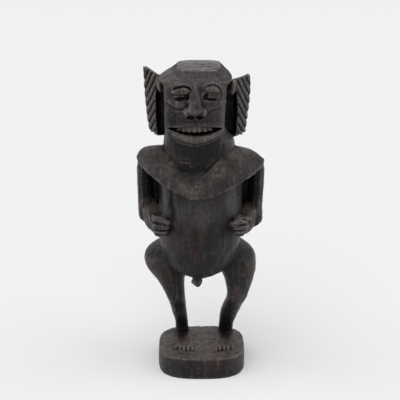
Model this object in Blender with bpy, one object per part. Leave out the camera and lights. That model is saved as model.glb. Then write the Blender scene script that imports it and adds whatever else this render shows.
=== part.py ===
"""A squatting, pot-bellied figure with winged ears, carved from one dark hardwood log with its base.

It faces -Y and stands on the base's flat underside, whose centre is the origin. Units are metres.
"""

import math

import bmesh
import bpy
from mathutils import Matrix, Vector

# Driving dimensions. The figure's carving is in parts of its stature, 460 to the whole, so that
# one part is a millimetre on the real figure. Heights of the carving count from the base's top.
STATURE = 0.460
BASE_WIDTH = 0.141
BASE_DEPTH = 0.133
BASE_HEIGHT = 0.035
BASE_FRONT_CORNER = 2.9
BASE_BACK_CORNER = 2.5
BASE_EDGE = 0.0015
PART = STATURE / 460

# How finely the forms are faceted.
BASE_SIDES = 32
TORSO_SIDES = 28
HEAD_SIDES = 24
LIMB_SIDES = 12
TUBE_POINTS_PER_GAP = 2

# Carving sizes, in parts.
EAR_GROOVES = 7
EAR_GROOVE_RADIUS = 2.2
EAR_GROOVE_SLOPE = math.radians(62)
EAR_SWEEP = math.radians(22)
TEETH = 8
FINGERS = 4
FINGER_RADIUS = 4.6
TOES = 5

WOOD = (0.021, 0.017, 0.016, 1.0)
WOOD_ROUGHNESS = 0.55


def at(x, y, h):
    """The place in metres of a point of the carving, h above the base's top."""
    return Vector((x * PART, y * PART, BASE_HEIGHT + h * PART))


def spline(rows, steps):
    """Rows of numbers joined by smooth runs (Catmull-Rom), with this many steps to a gap."""
    smooth = []
    last = len(rows) - 1
    for i in range(last):
        near = (rows[max(i - 1, 0)], rows[i], rows[i + 1], rows[min(i + 2, last)])
        for step in range(steps):
            t = step / steps
            smooth.append(tuple(blend(t, *values) for values in zip(*near)))
    smooth.append(tuple(rows[-1]))
    return smooth


def blend(t, a, b, c, d):
    """The Catmull-Rom value between b and c."""
    slope = (c - a) * t
    bend = (2 * a - 5 * b + 4 * c - d) * t * t
    turn = (3 * b - a - 3 * c + d) * t * t * t
    return 0.5 * (2 * b + slope + bend + turn)


def oval(sides, square):
    """Points round a unit oval: a circle at square 2, and nearer a box above it."""
    points = []
    for k in range(sides):
        turn = 2 * math.pi * (k + 0.5) / sides
        c, s = math.cos(turn), math.sin(turn)
        points.append((math.copysign(abs(c) ** (2 / square), c), math.copysign(abs(s) ** (2 / square), s)))
    return points


def add_object(name, shape, collection):
    """A bmesh made into an object of this collection. Helper forms are drawn as wires only."""
    bmesh.ops.recalc_face_normals(shape, faces=shape.faces)
    mesh = bpy.data.meshes.new(name)
    shape.to_mesh(mesh)
    shape.free()
    mesh.shade_smooth()
    mesh.set_sharp_from_angle(angle=math.radians(40))
    obj = bpy.data.objects.new(name, mesh)
    collection.objects.link(obj)
    return obj


def skin(name, rings, collection):
    """A closed form through rings of points, with a fan of faces over each end."""
    shape = bmesh.new()
    loops = [[shape.verts.new(point) for point in ring] for ring in rings]
    count = len(loops[0])
    for low, high in zip(loops, loops[1:]):
        for k in range(count):
            shape.faces.new((low[k], low[(k + 1) % count], high[(k + 1) % count], high[k]))
    for loop in (loops[0], loops[-1]):
        middle = shape.verts.new(sum((vert.co for vert in loop), Vector()) / count)
        for k in range(count):
            shape.faces.new((loop[k], loop[(k + 1) % count], middle))
    return add_object(name, shape, collection)


def stack(name, rows, sides, steps, collection):
    """A form through level sections. A row is h, left, right, front, back, square."""
    rings = []
    for h, left, right, front, back, square in spline(rows, steps):
        cx, cy = (left + right) / 2, (front + back) / 2
        rx, ry = (right - left) / 2, (back - front) / 2
        rings.append([at(cx + rx * u, cy + ry * v, h) for u, v in oval(sides, square)])
    return skin(name, rings, collection)


def limb(name, rows, square, steps, collection):
    """A form along a path. A row is x, y, h, half its width and half its height."""
    rows = spline(rows, steps)
    points = [at(*row[:3]) for row in rows]
    rings = []
    for k, (point, row) in enumerate(zip(points, rows)):
        along = points[min(k + 1, len(points) - 1)] - points[max(k - 1, 0)]
        across = along.cross(Vector((0, 0, 1))).normalized() * row[3] * PART
        up = across.cross(along).normalized() * row[4] * PART
        rings.append([point + across * u + up * v for u, v in oval(LIMB_SIDES, square)])
    return skin(name, rings, collection)


def tube(name, points, radius, collection, taper=0.6):
    """A round ridge through points of the carving, thinner towards its ends."""
    rows = spline(points, TUBE_POINTS_PER_GAP)
    curve = bpy.data.curves.new(name, "CURVE")
    curve.dimensions = "3D"
    curve.bevel_depth = radius * PART
    curve.bevel_resolution = 1
    curve.use_fill_caps = True
    line = curve.splines.new("POLY")
    line.points.add(len(rows) - 1)
    for k, (place, row) in enumerate(zip(line.points, rows)):
        place.co = (*at(*row), 1)
        from_end = min(k, len(rows) - 1 - k) / (len(rows) / 2)
        place.radius = taper + (1 - taper) * min(1, 2 * from_end)
    obj = bpy.data.objects.new(name, curve)
    return as_mesh(obj, collection)


def as_mesh(curve, collection):
    """The curve's mesh with its caps joined on, as an object that a Boolean can use."""
    bpy.context.scene.collection.objects.link(curve)
    bpy.context.view_layer.update()
    evaluated = curve.evaluated_get(bpy.context.evaluated_depsgraph_get())
    shape = bmesh.new()
    shape.from_mesh(bpy.data.meshes.new_from_object(evaluated))
    shape.transform(curve.matrix_world)
    bmesh.ops.remove_doubles(shape, verts=shape.verts, dist=1e-6)
    name = curve.name
    bpy.data.objects.remove(curve)
    return add_object(name, shape, collection)


def ball(name, centre, radii, collection, tilt=0.0, sides=12):
    """An egg-shaped form. Tilt turns it in the front view."""
    shape = bmesh.new()
    bmesh.ops.create_uvsphere(shape, u_segments=sides, v_segments=sides // 2 + 1, radius=1)
    turn = Matrix.Rotation(tilt, 4, "Y")
    shape.transform(Matrix.Translation(at(*centre)) @ turn @ Matrix.Diagonal((*radii, 1 / PART)) * PART)
    return add_object(name, shape, collection)


def block(name, centre, sizes, collection, edge=0.0):
    """A box with its edges cut by this much."""
    shape = bmesh.new()
    bmesh.ops.create_cube(shape, size=PART)
    bmesh.ops.scale(shape, vec=sizes, verts=shape.verts)
    if edge:
        bmesh.ops.bevel(
            shape,
            geom=shape.edges[:],
            offset=edge * PART,
            segments=1,
            affect="EDGES",
        )
    bmesh.ops.translate(shape, vec=at(*centre), verts=shape.verts)
    return add_object(name, shape, collection)


def make_base(collection):
    """The round-cornered block under the feet, cut flat below."""
    front = [point for point in oval(BASE_SIDES, BASE_FRONT_CORNER) if point[1] < 0]
    back = [point for point in oval(BASE_SIDES, BASE_BACK_CORNER) if point[1] > 0]
    rings = []
    for z, inset in (
        (0, BASE_EDGE),
        (BASE_EDGE, 0),
        (BASE_HEIGHT - BASE_EDGE, 0),
        (BASE_HEIGHT, BASE_EDGE),
    ):
        rx, ry = BASE_WIDTH / 2 - inset, BASE_DEPTH / 2 - inset
        rings.append([Vector((rx * u, ry * v, z)) for u, v in back + front])
    return skin("figure", rings, collection)


def add_torso(forms):
    """The barrel chest and the belly, whose underside is rounded like a cup."""
    stack(
        "torso",
        [
            (126, -16, 14, -38, 24, 2.0),
            (131, -30, 26, -50, 38, 2.1),
            (137, -44, 38, -57, 45, 2.2),
            (146, -53, 48, -62, 50, 2.3),
            (160, -60, 55, -66, 54, 2.3),
            (184, -67, 61.5, -68, 57, 2.3),
            (215, -68, 63, -66, 57, 2.3),
            (250, -67, 64.5, -60, 56, 2.4),
            (284, -67, 65, -57, 53, 2.4),
            (303, -62, 58, -50, 42, 2.4),
        ],
        TORSO_SIDES,
        2,
        forms,
    )
    stack(
        "nub",
        [
            (134, -11, -3, -48, -38, 2.2),
            (124, -11.5, -2.5, -48, -38, 2.2),
            (119.5, -15, 1, -51, -37, 2.2),
            (115, -14.5, 0.5, -50, -38, 2.2),
            (109, -9.5, -5, -46, -42, 2.2),
        ],
        8,
        1,
        forms,
    )


def girdle(x, y, low_x, front, back, left, right, bend):
    """The height round the shoulders, from the low point in front or behind up to each side."""
    side, reach = (left, 100 + low_x) if x < low_x else (right, 97 - low_x)
    low = front if y < 0 else back
    return low + (side - low) * min(1, abs(x - low_x) / reach) ** bend


def add_yoke(forms):
    """The raised collar over the shoulders: a V in front at the throat, and an overhanging rim."""
    rings = []
    outline = oval(40, 2.35)
    for spread, low_x, front, back, left, right, bend in (
        (0.45, -7, 268, 297, 316, 311, 1.3),
        (0.00, -7, 265, 293, 313, 308, 1.3),
        (0.02, -7, 269, 297, 317, 311, 1.3),
        (0.25, -8, 277, 309, 327, 318, 1.25),
        (0.50, -10, 284, 322, 332, 330, 1.15),
        (1.00, -13, 300, 348, 336, 336, 1.0),
    ):
        ring = []
        for u, v in outline:
            x = (-1.6 + 100 * u) * (1 - spread) + (-4 + 44 * u) * spread
            outer_y = -2 + (72 if v < 0 else 62) * v
            inner_y = -8 + (44 if v < 0 else 40) * v
            y = outer_y * (1 - spread) + inner_y * spread
            bend_x = x / (1 - 0.55 * spread)
            slump = 12 * max(0, v)
            ring.append(at(x, y, girdle(bend_x, y, low_x, front, back, left, right, bend) - slump))
        rings.append(ring)
    skin("yoke", rings, forms)


def add_head(forms):
    """The neck and head, one thick column with a faceted crown that rises towards the back."""
    rings = []
    for h, rise, left, right, front, back, square in (
        (276, 0.00, -53, 45, -50, 40, 2.4),
        (312, 0.00, -57, 50, -57, 43, 2.4),
        (342, 0.00, -57.5, 50.5, -58, 43, 2.5),
        (360, 0.00, -60, 48, -60, 43, 2.6),
        (395, 0.00, -62, 46, -61, 43, 2.8),
        (425, 0.00, -64, 46, -58.5, 42, 2.8),
        (440, 0.02, -64.5, 46, -55, 40, 2.8),
        (449, 0.05, -56, 41, -49, 37, 2.7),
        (456.5, 0.07, -39, 29, -42, 32, 2.6),
        (458.5, 0.08, -33, 22, -36, 27, 2.5),
    ):
        cx, cy = (left + right) / 2, (front + back) / 2
        rx, ry = (right - left) / 2, (back - front) / 2
        outline = oval(HEAD_SIDES, square)
        rings.append([at(cx + rx * u, cy + ry * v, h + rise * ry * v) for u, v in outline])
    skin("head", rings, forms)


def add_face(forms, cutters):
    """Brows, lidded eyes, cheek bags, a wedge of a nose and a toothed mouth."""
    tube("brow_left", [(-14, -58, 428), (-21, -56.5, 437), (-31, -55.5, 440), (-42, -53, 437), (-51, -48, 428)], 3.6, forms)
    tube("brow_right", [(-2, -58, 431), (6, -55.5, 440), (17, -53.5, 443), (28, -52, 438), (35, -47, 427)], 3.6, forms)
    ball("eye_left", (-30, -55.5, 427), (15, 8, 7), forms, tilt=-0.12)
    ball("eye_right", (15, -55.5, 430), (12.5, 8, 7), forms, tilt=0.08)
    ball("socket_left", (-29, -62, 413), (13, 5.5, 4), cutters, tilt=-0.1)
    ball("socket_right", (16, -62, 415), (12, 5.5, 4.5), cutters, tilt=0.05)
    tube("bag_left", [(-52, -49, 412), (-44, -57, 406), (-33, -60, 403), (-24, -60, 405)], 3.6, forms)
    tube("bag_right", [(38, -47, 412), (29, -56, 405), (18, -59, 403), (9, -60, 406)], 3.6, forms)
    stack(
        "nose",
        [
            (434, -13, -4.5, -60.5, -50, 2.2),
            (418, -15, -4, -64, -50, 2.2),
            (405, -20, 1, -70, -50, 2.2),
            (395, -26, 7, -75, -48, 2.1),
            (390, -26.5, 8, -75, -48, 2.1),
            (387, -23, 5, -71, -48, 2.1),
        ],
        12,
        1,
        forms,
    )
    for name, x in (("nostril_left", -16), ("nostril_right", -3.5)):
        ball(name, (x, -69, 387), (5, 4, 3.6), cutters, sides=8)
    tube("lip_above", [(-50, -46, 374), (-38, -57, 379), (-24, -61.5, 382), (-9, -63, 383), (6, -61, 382), (20, -55, 379), (32, -45, 373)], 4.0, forms)
    tube("lip_below", [(-50, -46, 371), (-39, -57, 362), (-24, -64, 356), (-9, -66, 354.5), (6, -64, 356), (20, -57, 361), (32, -45, 370)], 5.2, forms)


def add_mouth(teeth, cutters):
    """The open mouth between the lips, and the row of upper teeth in it."""
    left, right, middle = -47.0, 29.0, -9.0
    rings = []
    for y, grow in ((-80, 1.0), (-48, 0.9)):
        upper = [(left, 373), (-28, 377), (middle, 378), (10, 377)]
        lower = [(right, 372), (14, 364.5), (middle, 360.5), (-32, 365)]
        rings.append([at(middle + (x - middle) * grow, y, 370 + (h - 370) * grow) for x, h in upper + lower])
    skin("mouth", rings, cutters)
    pitch = 55.0 / TEETH
    for k in range(TEETH):
        x = -38 + pitch * (k + 0.5)
        back_off = 7 * ((x - middle) / 28) ** 2
        block(f"tooth_{k + 1}", (x, -54 + back_off, 373), (pitch - 0.9, 13, 11), teeth, edge=1.0)


def add_ear(side, forms, cutters):
    """A winged ear: a fan with slanting grooves, behind a deep hollow next to the face."""
    if side < 0:
        root_x, drop = -57.0, 0.0
        outline = [(12, 352), (-3, 346), (-13, 345), (-24, 354), (-28, 380), (-31, 410), (-32.5, 440), (-33, 451), (-10, 437), (12, 434)]
    else:
        root_x, drop = 41.0, -4.0
        outline = [(12, 352), (-2, 345.5), (-12, 344), (-25, 353), (-30, 375), (-34, 400), (-35.5, 425), (-33, 440), (-10, 432), (12, 430)]
    name = "left" if side < 0 else "right"
    curve = bpy.data.curves.new("ear_" + name, "CURVE")
    curve.dimensions = "2D"
    curve.fill_mode = "BOTH"
    curve.extrude = 7.5 * PART
    line = curve.splines.new("POLY")
    line.points.add(len(outline) - 1)
    line.use_cyclic_u = True
    for place, (out, h) in zip(line.points, outline):
        place.co = (-side * out * PART, h * PART, 0, 1)
    fan = bpy.data.objects.new("ear_" + name, curve)
    upright = Matrix.Rotation(math.radians(90), 4, "X")
    swing = Matrix.Rotation(side * EAR_SWEEP, 4, "Z")
    hinge = Matrix.Translation(Vector((root_x * PART, 15 * PART, BASE_HEIGHT)))
    fan.matrix_world = hinge @ swing @ upright
    as_mesh(fan, forms)
    for k in range(EAR_GROOVES):
        shape = bmesh.new()
        bmesh.ops.create_cone(
            shape,
            cap_ends=True,
            segments=3,
            radius1=EAR_GROOVE_RADIUS * PART,
            radius2=EAR_GROOVE_RADIUS * PART,
            depth=44 * PART,
        )
        lean = Matrix.Rotation(side * (math.radians(90) - EAR_GROOVE_SLOPE), 4, "Y")
        spot = Matrix.Translation(Vector((side * 24 * PART, -7.5 * PART, (433 + drop - 12.6 * k) * PART)))
        shape.transform(hinge @ swing @ spot @ lean.inverted() @ Matrix.Rotation(math.radians(-90), 4, "Z"))
        add_object(f"ear_{name}_groove_{k + 1}", shape, cutters)
    ball(f"ear_{name}_knob", (root_x + side * 4, 4, 430 + drop), (7.5, 14, 9), forms, tilt=side * 0.3)
    stack(
        f"ear_{name}_hollow",
        [
            (351, root_x + side * 5 - 4, root_x + side * 5 + 4, -6, 12, 2.4),
            (370, root_x + side * 6 - 6, root_x + side * 6 + 6, -12, 18.4, 2.4),
            (400, root_x + side * 6 - 6, root_x + side * 6 + 6, -12, 18.4, 2.4),
            (424 + drop, root_x + side * 5 - 4, root_x + side * 5 + 4, -6, 12, 2.4),
        ],
        10,
        1,
        cutters,
    )


def add_arm(side, forms):
    """An upper arm like a post, a forearm brought forward along the belly, and a fist on it."""
    if side < 0:
        name, lean, drop = "left", 1.0, 0.0
        outer, inner, wrist_x = (-96, -99.8, -100.3, -101.2, -101.7, -98), -83.5, -63.0
    else:
        name, lean, drop = "right", 0.96, -3.0
        outer, inner, wrist_x = (90.5, 93.5, 94.5, 96.8, 98.5, 95), 80.5, 60.0
    heights = (214, 219, 236, 272, 297, 308)
    rows = []
    for h, out in zip(heights, outer):
        low = 6 if h < 219 or h > 300 else 0
        x = sorted((out, inner + side * low / 2))
        rows.append((h, *x, -21 + low, 23 - low, 2.6))
    stack(f"arm_{name}", rows, LIMB_SIDES, 1, forms)
    block(f"web_{name}", (side * 74, 14, 266), (24, 14, 100), forms)
    limb(
        f"forearm_{name}",
        [
            (side * 84 * lean, 14, 230 + drop, 13, 12),
            (side * 82 * lean, -5, 228 + drop, 15, 13.5),
            (side * 75 * lean, -25, 223 + drop, 14, 13.5),
            (side * 67 * lean, -44, 220.5 + drop, 12.5, 13.5),
            (side * 63 * lean, -54, 220.5, 11, 13),
        ],
        2.8,
        1,
        forms,
    )
    ball(f"palm_{name}", (wrist_x, -50.5, 221), (17, 13.5, 17.5), forms)
    for k in range(FINGERS):
        h = 208.5 + 7.6 * k
        curl = 4.5 if k == 0 else 0
        tube(
            f"finger_{name}_{k + 1}",
            [
                (wrist_x + side * (12.5 - curl), -50, h + 1),
                (wrist_x + side * (10 - curl), -59, h + 0.5),
                (wrist_x, -63.5, h),
                (wrist_x - side * 11, -61, h - 1),
                (wrist_x - side * 15, -52, h - 1),
            ],
            FINGER_RADIUS,
            forms,
            taper=0.85,
        )
    tube(
        f"thumb_{name}",
        [
            (wrist_x + side * 12, -46, 236),
            (wrist_x + side * 3, -57, 238.5),
            (wrist_x - side * 9, -62, 233.5),
        ],
        5.0,
        forms,
        taper=0.8,
    )


def add_leg(side, forms):
    """A bent leg: the bulging haunch, the knee in front, and the shin back to the ankle."""
    depths = [(181, 2, 44), (170, -18, 56), (155, -30, 62), (136, -35, 55), (116, -37, 36)]
    depths += [(98, -36, 20), (84, -30, 12), (66, -14, 17), (50, 0, 29), (34, 13, 41), (18, 24, 50), (-4, 32, 57)]
    if side < 0:
        name = "left"
        outers = [-54, -73, -91.5, -90, -73.5, -60.5, -54.5, -50.5, -48.5, -45.5, -44, -43]
        inners = [-30, -22, -18, -20, -26.5, -26.5, -26, -25, -24, -23, -22, -21]
    else:
        name = "right"
        outers = [52, 70, 86, 88.5, 83.5, 77, 72.5, 65, 60, 55.5, 51.5, 50]
        inners = [30, 22, 20, 26, 36, 40, 40, 34, 31, 29.5, 29, 28.5]
    rows = []
    for (h, front, back), outer, inner in zip(depths, outers, inners):
        rows.append((h, *sorted((outer, inner)), front, back, 2.4))
    stack(f"leg_{name}", rows, LIMB_SIDES + 2, 1, forms)
    add_foot(side, name, forms)


def add_foot(side, name, forms):
    """A flat foot in low relief on the base, with its toes in front."""
    ankle_x, toe_x = (-32.5, -26.0) if side < 0 else (39.0, 36.5)
    limb(
        f"foot_{name}",
        [
            (ankle_x, 53.3, 0.4, 10.5, 4.5),
            (ankle_x, 34, 0, 12, 5.5),
            (toe_x, 5, 0, 13.5, 5),
            (toe_x, -26, 0, 15, 4.5),
        ],
        3.2,
        1,
        forms,
    )
    for k in range(TOES):
        from_big = k / (TOES - 1)
        x = toe_x - side * (12 - 24 * from_big)
        y = -31 + 7 * from_big ** 1.4
        size = 3.9 - 0.9 * from_big
        ball(f"toe_{name}_{k + 1}", (x, y, 1.5), (size, 8, size + 1.3), forms, sides=8)


def wood():
    """Hardwood stained nearly black, rubbed to a dull shine."""
    material = bpy.data.materials.new("dark_stained_hardwood")
    material.use_nodes = True
    shader = material.node_tree.nodes["Principled BSDF"]
    shader.inputs["Base Color"].default_value = WOOD
    shader.inputs["Roughness"].default_value = WOOD_ROUGHNESS
    return material


def new_collection(name):
    collection = bpy.data.collections.new(name)
    bpy.context.scene.collection.children.link(collection)
    return collection


def main():
    for obj in list(bpy.data.objects):
        bpy.data.objects.remove(obj)
    sculpture = new_collection("tribal_sculpture")
    forms = new_collection("carved_forms")
    cutters = new_collection("cut_aways")
    teeth = new_collection("teeth")
    figure = make_base(sculpture)
    figure.data.materials.append(wood())
    add_torso(forms)
    add_yoke(forms)
    add_head(forms)
    add_face(forms, cutters)
    add_mouth(teeth, cutters)
    for side in (-1, 1):
        add_ear(side, forms, cutters)
        add_arm(side, forms)
        add_leg(side, forms)
    for helper in [*forms.objects, *cutters.objects, *teeth.objects]:
        helper.hide_render = True
        helper.display_type = "WIRE"
    for name, operation, collection in (
        ("forms joined", "UNION", forms),
        ("cut aways", "DIFFERENCE", cutters),
        ("teeth joined", "UNION", teeth),
    ):
        modifier = figure.modifiers.new(name, "BOOLEAN")
        modifier.operation = operation
        modifier.operand_type = "COLLECTION"
        modifier.collection = collection
        modifier.solver = "EXACT"


main()
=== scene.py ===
"""The looks of a squatting, pot-bellied figure with winged ears, carved with its base from one log.

The file is laid out as an add-on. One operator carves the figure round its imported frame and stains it,
and another sets the stage. The carving is modelled in parts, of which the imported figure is 496 high, so
that a part is a millimetre on the real one. x runs to the viewer's right, y to the back, and h counts
from the base's top. The figure faces -y.
"""

import math

import bmesh
import bpy
import numpy as np
from bpy.props import FloatProperty, FloatVectorProperty, IntProperty, PointerProperty
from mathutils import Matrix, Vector


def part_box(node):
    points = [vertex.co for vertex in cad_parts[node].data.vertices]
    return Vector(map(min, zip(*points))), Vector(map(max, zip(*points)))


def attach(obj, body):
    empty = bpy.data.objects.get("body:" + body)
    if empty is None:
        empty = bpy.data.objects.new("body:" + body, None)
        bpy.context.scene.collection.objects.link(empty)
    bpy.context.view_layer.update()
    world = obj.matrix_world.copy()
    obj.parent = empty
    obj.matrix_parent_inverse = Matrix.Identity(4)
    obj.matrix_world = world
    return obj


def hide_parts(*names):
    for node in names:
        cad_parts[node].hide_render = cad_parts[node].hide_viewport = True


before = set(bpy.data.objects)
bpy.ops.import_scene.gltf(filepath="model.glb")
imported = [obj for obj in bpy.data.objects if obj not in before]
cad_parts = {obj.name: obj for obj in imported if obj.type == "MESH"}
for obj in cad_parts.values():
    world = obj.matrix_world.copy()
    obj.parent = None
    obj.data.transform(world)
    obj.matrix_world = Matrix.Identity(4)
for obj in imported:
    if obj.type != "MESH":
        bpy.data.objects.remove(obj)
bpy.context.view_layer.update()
LOW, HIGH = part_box("figure")

bl_info = {
    "name": "Carved squatting figure",
    "version": (1, 0, 0),
    "blender": (4, 5, 0),
    "location": "3D View > Sidebar > Carving",
    "description": "Carves, stains and lights a squatting hardwood figure round its packed frame",
    "category": "Object",
}

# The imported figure's height in parts, and a part in metres. Sizes are in parts unless they say metres.
WHOLE_PARTS = 496.0
PART = (HIGH.z - LOW.z) / WHOLE_PARTS
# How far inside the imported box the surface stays.
MARGIN = 0.05

BASE_WIDTH = 141.0
BASE_DEPTH = 133.0
BASE_HEIGHT = 35.0
# How square the base's corners are: 2 is round.
BASE_FRONT_CORNER = 2.9
BASE_BACK_CORNER = 3.2

# Whole grooves on an ear. Shorter ones run out above and below them.
EAR_GROOVES = 7
EAR_GROOVE_PITCH = 15.8
EAR_GROOVE_SLOPE = math.radians(64)
EAR_GROOVE_DEPTH = 2.6
TEETH = 7
TOES = 5

# The viewer's left and right.
LEFT, RIGHT = SIDES = (-1, 1)
# The x of each ear's root, and how much higher than on the left its details are.
EAR_ROOTS = {LEFT: (-57.0, 0.0), RIGHT: (41.0, -4.0)}
TOE_X = {LEFT: -27.5, RIGHT: 36.5}
# A skin that the forms were joined into has many more faces than this.
FEWEST_FACES = 1000

# Where the camera stands from side to side, and the height it looks at, in metres.
CAMERA_X = -0.0024
AIM_HEIGHT = 0.279
# Half the floor's width in metres.
FLOOR_HALF = 9.0
# A lamp's name, its share of the strength, its spread and its height in degrees, how far round it
# stands, with 0 in front and 90 on the right, and the one object it lights, or None for all.
LAMPS = (
    ("overhead", 0.5, 36, 84, 0, None),
    ("left_high", 0.46, 44, 54, -78, None),
    ("right_high", 0.42, 44, 54, 78, None),
    ("front_fill", 0.6, 50, 48, -12, None),
    ("behind", 0.68, 50, 34, 180, "carved_figure"),
    ("left_strip", 1.2, 25, 14, -94, "carved_figure"),
    ("right_strip", 1.0, 25, 14, 92, "carved_figure"),
    ("floor_wash", 0.24, 10, 90, 0, "floor"),
)


def linear(code):
    """An sRGB hex colour such as #8a6f52 as linear red, green, blue and alpha."""
    values = [int(code[k : k + 2], 16) / 255 for k in (1, 3, 5)]
    return [v / 12.92 if v <= 0.04045 else ((v + 0.055) / 1.055) ** 2.4 for v in values] + [1.0]


class CarvingSettings(bpy.types.PropertyGroup):
    """What a user would change on the carved figure."""

    fineness: FloatProperty(
        name="Fineness",
        description="Size of the small even faces that the forms are melted into",
        default=0.85 * PART,
        unit="LENGTH",
        precision=5,
    )
    faces: IntProperty(
        name="Triangles",
        description="Triangles that the carving is thinned to at most",
        default=188000,
    )
    cut_depth: FloatProperty(
        name="Cut depth",
        description="Depth of the knife cuts, as a share of the real ones",
        default=1.0,
        subtype="FACTOR",
    )
    tool_marks: FloatProperty(
        name="Tool marks",
        description="Depth of the scoops and ridges that hewing leaves",
        default=0.6 * PART,
        unit="LENGTH",
        precision=5,
    )
    grain_width: FloatProperty(
        name="Grain width",
        description="Width of the wood's darker streaks",
        default=0.0019,
        unit="LENGTH",
        precision=5,
    )
    stain: FloatVectorProperty(
        name="Stain",
        description="Colour of the stained wood",
        default=linear("#292526"),
        size=4,
        subtype="COLOR",
    )
    heartwood: FloatVectorProperty(
        name="Rubbed wood",
        description="Colour of the red wood where the stain is rubbed thin",
        default=linear("#46281f"),
        size=4,
        subtype="COLOR",
    )
    # This colour also paints light on parts that lie in shade.
    dust: FloatVectorProperty(
        name="Dust",
        description="Colour of old wax and dust on what faces up",
        default=linear("#665e54"),
        size=4,
        subtype="COLOR",
    )
    # Edges lightened with this colour are partly wear and partly painted highlights.
    edge_wear_and_highlight: FloatVectorProperty(
        name="Worn edges",
        description="Colour of edges that handling has polished",
        default=linear("#857c78"),
        size=4,
        subtype="COLOR",
    )


class StageSettings(bpy.types.PropertyGroup):
    """What a user would change on the stage."""

    floor: FloatVectorProperty(
        name="Floor",
        description="Colour of the painted floor",
        default=linear("#f9f9f9"),
        size=4,
        subtype="COLOR",
    )
    daylight: FloatProperty(
        name="Daylight",
        description="Strength of the light from all round",
        default=0.2,
    )
    key: FloatProperty(
        name="Lamps",
        description="Strength of all lamps, of which each gives its share",
        default=1.25,
    )
    camera_distance: FloatProperty(
        name="Camera distance",
        description="How far in front of the figure the camera stands",
        default=1.54,
        unit="LENGTH",
    )
    camera_height: FloatProperty(
        name="Camera height",
        description="How high the camera stands above the floor",
        default=0.75,
        unit="LENGTH",
    )
    lens: FloatProperty(
        name="Lens",
        description="Focal length on a 36 mm wide sensor",
        default=91.9,
        unit="CAMERA",
    )


# Forms: each is an array of points in parts, and its faces.


def spline(rows, steps):
    """Rows of numbers joined by smooth runs (Catmull-Rom), with this many steps to a gap."""
    rows = np.array(rows, float)
    last = len(rows) - 1
    smooth = []
    for i in range(last):
        a, b, c, d = rows[max(i - 1, 0)], rows[i], rows[i + 1], rows[min(i + 2, last)]
        for t in np.arange(steps) / steps:
            bend = (2 * a - 5 * b + 4 * c - d) * t**2
            turn = (3 * b - a - 3 * c + d) * t**3
            smooth.append(0.5 * (2 * b + (c - a) * t + bend + turn))
    smooth.append(rows[-1])
    return np.array(smooth)


def oval(sides, square):
    """Points round a unit oval: a circle at square 2, and nearer a box above it."""
    turn = 2 * math.pi * (np.arange(sides) + 0.5) / sides
    c, s = np.cos(turn), np.sin(turn)
    return np.sign(c) * abs(c) ** (2 / square), np.sign(s) * abs(s) ** (2 / square)


def skin(rings):
    """A closed form through rings of points, with a fan of faces over each end."""
    rings = np.array(rings, float)
    count, sides = rings.shape[:2]
    ends = [rings[0].mean(axis=0), rings[-1].mean(axis=0)]
    points = np.concatenate([rings.reshape(-1, 3), ends])
    faces = []
    for k in range(sides):
        after = (k + 1) % sides
        for row in range(0, (count - 1) * sides, sides):
            faces.append((row + k, row + after, row + sides + after, row + sides + k))
        top = (count - 1) * sides
        faces.append((after, k, count * sides))
        faces.append((top + k, top + after, count * sides + 1))
    return points, faces


def stack(rows, sides=64, steps=4):
    """A form through sections. A row is h, left, right, front, back, square.

    A last number, if there is one, is how steeply the section rises to the back.
    """
    rings = []
    for h, left, right, front, back, square, *slope in spline(rows, steps):
        u, v = oval(sides, square)
        x = (left + right) / 2 + (right - left) / 2 * u
        y = (front + back) / 2 + (back - front) / 2 * v
        rise = sum(slope) * (back - front) / 2
        rings.append(np.stack([x, y, h + rise * v], axis=1))
    return skin(rings)


def limb(rows, square=2.0, up=(0, 0, 1), sides=24, steps=4):
    """A form along a path with rounded ends. A row is x, y, h, half its width and half its height."""
    rows = spline(rows, steps)
    path = rows[:, :3]
    along = np.gradient(path, axis=0)
    along /= np.linalg.norm(along, axis=1)[:, None]
    across = np.cross(along, up)
    across /= np.linalg.norm(across, axis=1)[:, None]
    upward = np.cross(across, along)
    u, v = oval(sides, square)
    rings = [
        path[k] + rows[k, 3] * np.outer(u, across[k]) + rows[k, 4] * np.outer(v, upward[k])
        for k in range(len(rows))
    ]
    for end, sign in ((0, -1), (-1, 1)):
        middle, ring = path[end], rings[end]
        size = min(rows[end, 3:5])
        for reach, scale in ((0.35, 0.85), (0.55, 0.5)):
            cap = middle + (ring - middle) * scale + sign * along[end] * size * reach
            if sign < 0:
                rings.insert(0, cap)
            else:
                rings.append(cap)
    return skin(rings)


def ball(centre, radii, tilt=0.0, sides=32):
    """An egg-shaped form. Tilt turns it in the front view."""
    rings = []
    around = 2 * math.pi * np.arange(sides) / sides
    for polar in np.linspace(0.08, math.pi - 0.08, sides // 2):
        wide = math.sin(polar)
        x = radii[0] * wide * np.cos(around)
        y = radii[1] * wide * np.sin(around)
        z = np.full(sides, radii[2] * math.cos(polar))
        turned_x = x * math.cos(tilt) + z * math.sin(tilt)
        turned_z = z * math.cos(tilt) - x * math.sin(tilt)
        rings.append(np.stack([turned_x, y, turned_z], axis=1) + centre)
    return skin(rings)


def base():
    """The round-cornered block under the feet."""
    sides = 96
    u, v = oval(sides, BASE_FRONT_CORNER)
    back_u, back_v = oval(sides, BASE_BACK_CORNER)
    behind = back_v > 0
    u, v = np.where(behind, back_u, u), np.where(behind, back_v, v)
    rings = []
    for h, inset in ((-35, 1.2), (-33.8, 0.2), (-20, 0), (-8, 0.1), (-1.6, 0.3), (-0.4, 0.9), (0, 2.2)):
        rx, ry = BASE_WIDTH / 2 - inset, BASE_DEPTH / 2 - inset
        rings.append(np.stack([rx * u, ry * v, np.full(sides, h)], axis=1))
    return [skin(rings)]


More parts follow.
